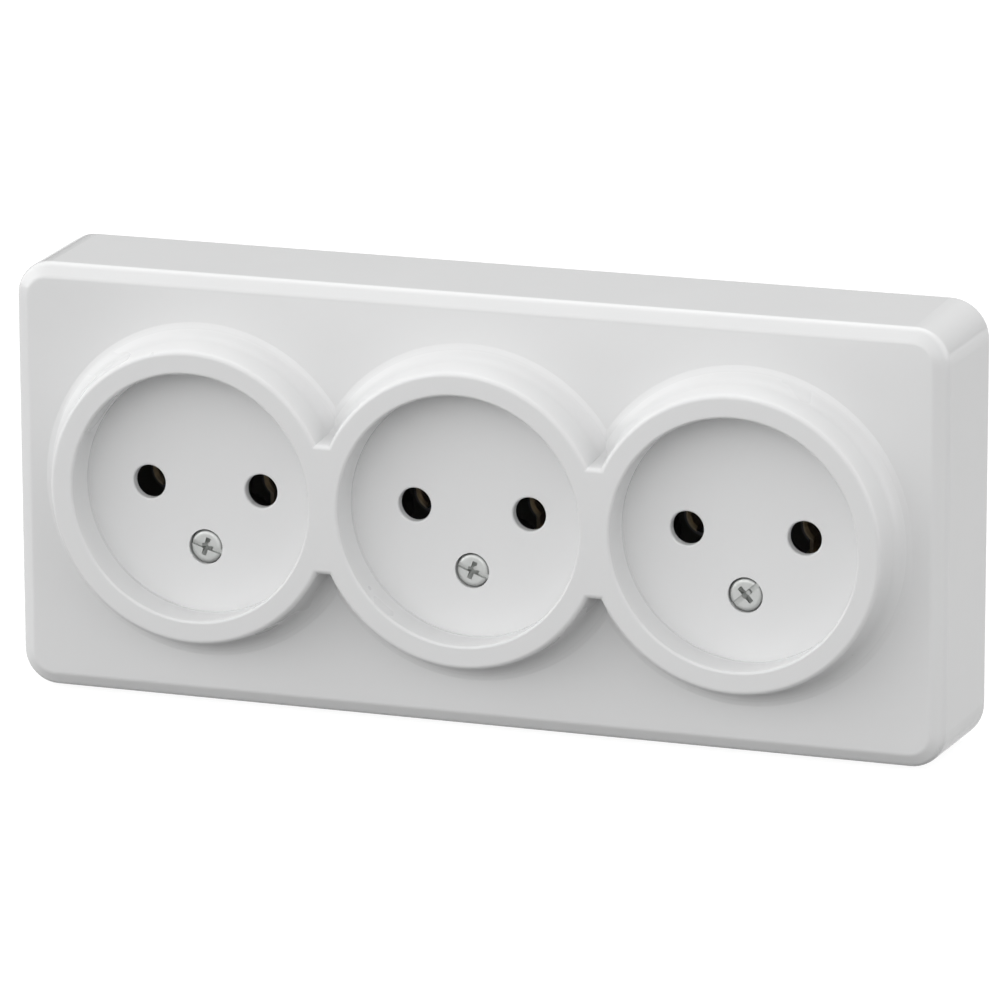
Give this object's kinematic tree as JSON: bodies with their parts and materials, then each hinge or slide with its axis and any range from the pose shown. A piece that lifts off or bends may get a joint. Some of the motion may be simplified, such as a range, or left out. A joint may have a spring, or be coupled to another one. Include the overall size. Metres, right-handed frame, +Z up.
{
  "type": "triple wall socket",
  "caption": "Surface-mounted wall socket, a row of round wells in joined raised collars, each with two pin holes and a cover screw; for two-pin plugs without earth.",
  "frame": {"origin": "middle of the back face, on the plane of the wall", "axes": "+X to the right along the row of sockets, +Y into the wall, +Z up; the front looks along -Y"},
  "size_m": [0.1548, 0.0268, 0.0704],
  "materials": {
    "cover": "glossy white moulding with a satin rim and fine-textured well floors",
    "base": "dark phenolic moulding",
    "brass": "stamped brass",
    "zinc": "zinc-plated steel",
    "spring_steel": "blued spring steel"
  },
  "bodies": {
    "root": {"front_cover": "cover", "base_plate": "base", "cover_screw_left": "zinc", "cover_screw_middle": "zinc", "cover_screw_right": "zinc", "screw_bush_left": "brass", "screw_bush_middle": "brass", "screw_bush_right": "brass", "line_bar": "brass", "neutral_bar": "brass", "line_bar_screws": "zinc", "neutral_bar_screws": "zinc", "line_jaw_left": "brass", "line_jaw_middle": "brass", "line_jaw_right": "brass", "neutral_jaw_left": "brass", "neutral_jaw_middle": "brass", "neutral_jaw_right": "brass", "line_spring_left": "spring_steel", "line_spring_middle": "spring_steel", "line_spring_right": "spring_steel", "neutral_spring_left": "spring_steel", "neutral_spring_middle": "spring_steel", "neutral_spring_right": "spring_steel", "line_rivet_left": "brass", "line_rivet_middle": "brass", "line_rivet_right": "brass", "neutral_rivet_left": "brass", "neutral_rivet_middle": "brass", "neutral_rivet_right": "brass", "line_terminal_screw": "zinc", "line_terminal_clamp": "zinc", "line_terminal_nut": "brass", "neutral_terminal_screw": "zinc", "neutral_terminal_clamp": "zinc", "neutral_terminal_nut": "brass"}
  },
  "joints": []
}
